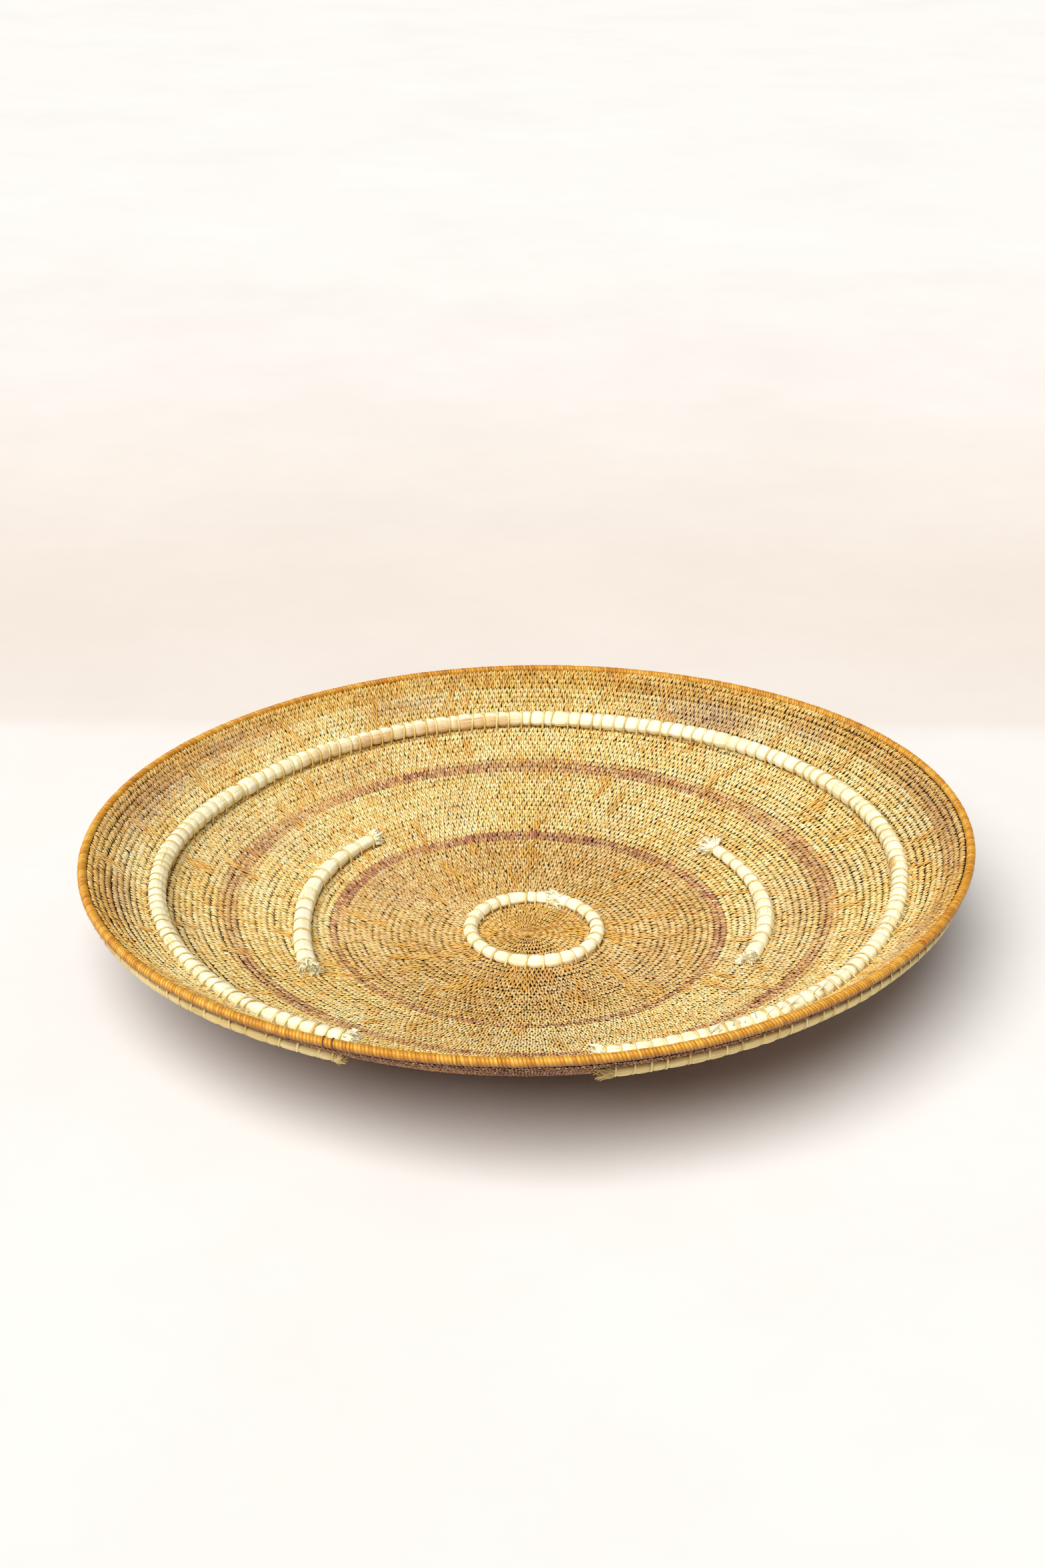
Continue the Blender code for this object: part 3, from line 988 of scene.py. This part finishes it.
def straw_material(name, *colours):
    """Pale straw: long fibres that follow the strand, a satin sheen, brown where it is stained."""
    made, tree, shader = new_material(name, 0.5)
    strand = attribute(tree, "strand", "Vector")
    long, fine = (
        add(tree, "ShaderNodeMapping", {"Vector": strand, "Scale": scale}).outputs[0]
        for scale in ((9.0, 9.0, 34.0), (30.0, 30.0, 60.0))
    )
    fibres = noise(tree, long, 1.0, 5.0, 0.75)
    hairs = noise(tree, fine, 1.0, 3.0, 0.6)
    patches = times(tree, noise(tree, object_place(tree), 40.0, 3.0, 0.5), 1 - STRAW_SHARE)
    mixed = calc(tree, "MULTIPLY_ADD", fibres, STRAW_SHARE, patches)
    base = ramp(tree, mixed, *zip((0.36, 0.45, 0.60), tones(*colours)))
    brown = ramp(tree, hairs, *zip((0.38, 0.58), STAIN_TONES))
    side = add(tree, "ShaderNodeSeparateXYZ", {0: strand}).outputs[0]
    low_side = calc(tree, "MULTIPLY_ADD", side, -0.5, times(tree, fibres, 1.1))
    reach = ramp(tree, low_side, (0.42, BLACK), (0.62, WHITE))
    base = mix_colours(tree, times(tree, attribute(tree, "stain"), reach), base, brown)
    both = calc(tree, "MULTIPLY_ADD", fibres, 0.6, times(tree, hairs, 0.4))
    rough = calc(tree, "MULTIPLY_ADD", hairs, 0.3, 0.38)
    finish_shader(tree, shader, base, both, 0.8, 0.0004, rough)
    return made


straw = straw_material("straw", (204, 176, 104), (252, 244, 202), (255, 253, 234))
# The ring under the wall takes this darker copy of the straw as painted shade, for the shadow under the
# rim.
dark_straw = straw_material("dark_straw", (160, 122, 62), (222, 192, 122), (242, 220, 160))
cord_splint = glossy_splint("cord", ((226, 192, 102), (246, 224, 142), (254, 240, 180)), 0.5)

# %% [markdown]
# ## Frayed ends
# A rope ends where its stems were cut or broken, so each end is a tuft of loose straws. One
# straw is a thin tapered tube with a bend; a tree copies it to seats that fan out from the
# rope's end.

# %% The straw tree


def straw_tree():
    """A thin, tapered, bent stem that grows along its seat's out direction."""
    tree, group = new_tree("Straws", Length=0.015, Radius=0.0006, Bend=0.002, Seed=1)
    tube, (x, y, z) = prism(tree, 4, 5)
    up = calc(tree, "ADD", z, 0.5)
    bow = calc(tree, "POWER", up, 2.0)
    taper = calc(tree, "SUBTRACT", 1.0, times(tree, bow, 0.75))
    thick = times(tree, group["Radius"], taper)
    bent = (
        times(tree, times(tree, x, 1.6), thick),
        calc(tree, "MULTIPLY_ADD", y, thick, times(tree, group["Bend"], bow)),
        times(tree, up, group["Length"]),
    )
    marks = (x, y, times(tree, up, 0.02))
    return seat_copies(tree, group, formed(tree, tube, "strand", marks, bent))


def tuft_seats(route, end, radius, count, spread, seed, reach):
    """Seats for straws that leave one end of a rope (0 the first, -1 the last)."""
    maker = np.random.default_rng(seed)
    place, along, across, normal = (
        route[key][end] for key in ("place", "along", "across", "normal")
    )
    away = along * (1 if end else -1)
    angle = maker.uniform(0, 2 * math.pi, count)
    off = radius * np.sqrt(maker.uniform(0.02, 0.9, count))
    aside = (np.sin(angle) * off)[:, None] * across
    up = (np.cos(angle) * off)[:, None] * normal
    back = maker.uniform(0.001, 0.005, count)[:, None] * away
    fan = (aside * 1.3 + np.abs(up) * 0.2) / radius * spread
    wild = maker.normal(0, 0.08 * spread, (count, 3))
    out = unit(away + fan + wild - 0.10 * spread * normal)
    bend = unit(maker.normal(0, 1, (count, 3)))
    ranges = ((0.8, 1.7, 1.0), (0.8, 1.7, 1.0), (0.4, 1.0, reach))
    size = np.stack([maker.uniform(low, high, count) * by for low, high, by in ranges], axis=1)
    return place + aside + up - back, out, bend, size


straws = straw_tree()

# %% [markdown]
# ## Sewing the ropes on
# The cord bites at nearly even steps. Each rope becomes three pieces: its skin, its cord and
# its two frayed ends, for which (end, number of stems, spread, length) is given.

# %% Sew a rope on
BITE_CHANGE = 0.0009
CORD_REACH = 0.92


def sewn_rope(
    label, radius_at, span, radius, stitches, seed, ends,
    side=1, material=straw, slot="straw", thickness=np.ones_like,
):
    """A straw rope, its sewing cord and its frayed ends, as three pieces."""
    route = rope_route(radius_at, *span, side, radius * SEAT)
    maker = np.random.default_rng(seed)
    length = route["length"]
    whole = length[-1]
    bites = (np.arange(stitches) + 0.5) / stitches * whole
    bites = bites + maker.normal(0, BITE_CHANGE, stitches)
    shape = thickness(length / whole)
    skin = rope_skin(f"{label}_straw", route, radius, bites, shape, material, seed)
    keep(skin, slot, f"{label}_rope")
    last = len(length) - 1
    index = np.clip((bites / whole * last).round().astype(int), 0, last)
    slant = maker.normal(0.16, 0.09, stitches)[:, None]
    size = shape[index][:, None] * np.array([1.0, 1.0, FLATTEN])
    size = size * maker.normal(1.0, 0.02, (stitches, 1))
    size[:, 1] = maker.uniform(0.8, 1.25, stitches)
    cord_seats = seats_mesh(
        "cord_seats",
        route["place"][index],
        out=route["normal"][index],
        along=route["along"][index] + route["across"][index] * slant,
        size=size,
    )
    reach = radius * CORD_REACH
    cord = grow(f"{label}_cord", lashings, cord_seats, cord_splint, Radius=reach, Seed=seed)
    keep(cord, "cord", f"{label}_lashing")
    gathered = [
        tuft_seats(route, end, radius * shape[end], count, spread, seed + n, reach)
        for n, (end, count, spread, reach) in enumerate(ends)
    ]
    places, out, bend, sizes = (np.concatenate(parts) for parts in zip(*gathered))
    tuft = seats_mesh("tuft", places, out=out, along=bend, size=sizes)
    keep(grow(f"{label}_frayed_ends", straws, tuft, material, Seed=seed), slot)


# %% [markdown]
# ## The five ropes
# Every rope has its own route, its span in degrees, its radius and its number of bites.

# %% The five ropes


def filling(start, gain, rate):
    """A thickness that starts thin and fills out along the rope."""
    return lambda share: start + gain * np.minimum(1, share * rate)


sewn_rope(
    "centre_ring", centre_radius, (62.0, 430.0), 0.0048, 27, 21,
    ((0, 40, 0.35, 0.5), (-1, 40, 0.35, 0.5)),
)
sewn_rope(
    "left_arc", left_radius, (137.0, 211.5), 0.0055, 14, 22,
    ((0, 70, 0.4, 0.4), (-1, 110, 0.6, 0.5)), thickness=filling(0.84, 0.22, 3),
)
sewn_rope(
    "right_arc", right_radius, (34.0, -26.0), 0.0054, 14, 23,
    ((0, 90, 1.0, 0.7), (-1, 70, 0.3, 0.45)), thickness=filling(0.74, 0.30, 1.6),
)
sewn_rope(
    "inner_ring", inner_ring_radius, (-81.0, 246.0), 0.0059, 150, 24,
    ((0, 50, 0.3, 0.45), (-1, 50, 0.3, 0.45)),
)
sewn_rope(
    "outer_ring", outer_ring_radius, (-81.0, 247.0), 0.0037, 150, 25,
    ((0, 60, 0.5, 0.55), (-1, 45, 0.3, 0.3)), side=-1, material=dark_straw, slot="dark_straw",
)

# %% [markdown]
# ## Small accidents
# Two dark threads were tied over the rim near the left end of the large ring, and a few stems
# have worked loose from the rope, at its right end and at the back. They take the trees made
# above.

# %% Threads and loose stems
THREAD_DEGREES = (-113.9, -112.7)
THREAD_TONES = ((70, 40, 22), (104, 62, 34), (140, 92, 54))
THREAD_SIZES = {"Radius": 0.0033, "Width": 0.0008, "Thickness": 0.0006}
thread_angles = np.radians(THREAD_DEGREES)
thread_centres = surface(RIM_RADIUS, thread_angles, -WALL / 2)
normal, up_wall = directions(np.full(2, RIM_RADIUS), thread_angles)
dark_thread = glossy_splint("dark_thread", THREAD_TONES, 0.6)
thread_seats = seats_mesh(
    "threads", thread_centres, out=up_wall, along=np.cross(normal, up_wall), size=np.ones((2, 3))
)
keep(grow("rim_threads", straps, thread_seats, dark_thread, **THREAD_SIZES), "cord")

STEMS = ((18, -66, -46), (8, 100, 140))
stem_count = sum(count for count, _, _ in STEMS)
stem_maker = np.random.default_rng(31)
stem_degrees = np.concatenate([stem_maker.uniform(low, high, count) for count, low, high in STEMS])
stem_angles = np.radians(stem_degrees)
stem_radius = inner_ring_radius(stem_degrees)
normal, up_wall = directions(stem_radius, stem_angles)
stem_aside = np.cross(normal, up_wall) * stem_maker.uniform(-1, 1, (stem_count, 1))
stem_bend = unit(stem_maker.normal(0, 1, (stem_count, 3)))
stem_width, stem_length = np.full(stem_count, 0.7), stem_maker.uniform(0.3, 0.8, stem_count)
stem_seats = seats_mesh(
    "stems",
    surface(stem_radius + 0.003, stem_angles, 0.004),
    out=unit(stem_aside + up_wall * 0.5 + normal * 0.35),
    along=stem_bend,
    size=np.stack([stem_width, stem_width, stem_length], axis=1),
)
keep(grow("loose_stems", straws, stem_seats, straw, Seed=9, Bend=0.004), "straw")

# %% [markdown]
# ## The stage
# A pale paper floor, whose fold into a backdrop is only a change of tone: painted shade, a
# darker, pinker band behind the basket. One wide, soft lamp stands at the front left, high up,
# and a weak sky opens the shadows.

# %% The paper
FLOOR_SIZE = 30.0
FLOOR_DROP = 0.0004
PAPER = ((0.35, (0.80, 0.780, 0.760, 1.0)), (0.65, (0.84, 0.826, 0.812, 1.0)))
# Painted shade: behind the fold line the paper turns darker and pinker, then pales back to white.
FOLD_SHADE = (
    (0.0, WHITE),
    (0.066, (0.97, 0.955, 0.94, 1.0)),
    (0.068, (0.93, 0.875, 0.835, 1.0)),
    (0.130, (0.93, 0.855, 0.80, 1.0)),
    (0.250, (0.98, 0.95, 0.925, 1.0)),
    (0.420, WHITE),
)


def stage_material():
    """Matt paper, faintly mottled, with painted shade along its fold."""
    made, tree, shader = new_material("stage", 0.9)
    place = object_place(tree)
    paper = ramp(tree, noise(tree, place, 2.6, 5.0, 0.7), *PAPER)
    depth = add(tree, "ShaderNodeSeparateXYZ", {0: place}).outputs[1]
    fold_shade = ramp(tree, times(tree, depth, 0.2), *FOLD_SHADE)
    colour = mix_colours(tree, 1.0, paper, fold_shade, "MULTIPLY")
    tree.links.new(colour, shader.inputs["Base Color"])
    return made


bpy.ops.mesh.primitive_plane_add(size=FLOOR_SIZE, location=(0.0, 0.0, -FLOOR_DROP))
floor = bpy.context.object
floor.name = "floor"
floor.data.materials.append(stage_material())

# %% [markdown]
# ## Light and camera
# The lamp is a sun with a very wide disc, so its shadows are soft. The camera looks down at the
# middle of the basket from the front.

# %% Light and camera
SUN_ENERGY = 3.9
SUN_ANGLE = math.radians(52)
SUN_FROM = Vector((-0.42, -0.72, 1.35))
SKY_STRENGTH = 0.2
CAMERA_TILT = math.radians(26.44)
CAMERA_ROLL = math.radians(0.334)
CAMERA_DISTANCE = 1.4512
CAMERA_ASIDE = -0.0044
CAMERA_RAISE = 0.1041

scene = bpy.context.scene
sun = bpy.data.lights.new("window", "SUN")
sun.energy = SUN_ENERGY
sun.angle = SUN_ANGLE
sun.color = (1.0, 0.985, 0.96)
window = bpy.data.objects.new("window", sun)
window.rotation_euler = SUN_FROM.to_track_quat("Z", "Y").to_euler()
scene.collection.objects.link(window)
world = bpy.data.worlds.new("room")
world.use_nodes = True
sky = world.node_tree.nodes["Background"].inputs
sky["Color"].default_value = (1.0, 0.97, 0.94, 1.0)
sky["Strength"].default_value = SKY_STRENGTH
scene.world = world
scene.view_settings.view_transform = "Standard"

camera = bpy.data.objects.new("camera", bpy.data.cameras.new("camera"))
camera.data.lens = 50.0
camera.data.sensor_width = 36.0
ahead = Vector((0.0, math.cos(CAMERA_TILT), -math.sin(CAMERA_TILT)))
above = Vector((0.0, math.sin(CAMERA_TILT), math.cos(CAMERA_TILT)))
aside = Vector((CAMERA_ASIDE, 0.0, 0.0))
camera.location = -ahead * CAMERA_DISTANCE + aside + above * CAMERA_RAISE
camera.rotation_euler = (math.pi / 2 - CAMERA_TILT, 0.0, 0.0)
camera.rotation_euler.rotate_axis("Z", CAMERA_ROLL)
scene.collection.objects.link(camera)
scene.camera = camera
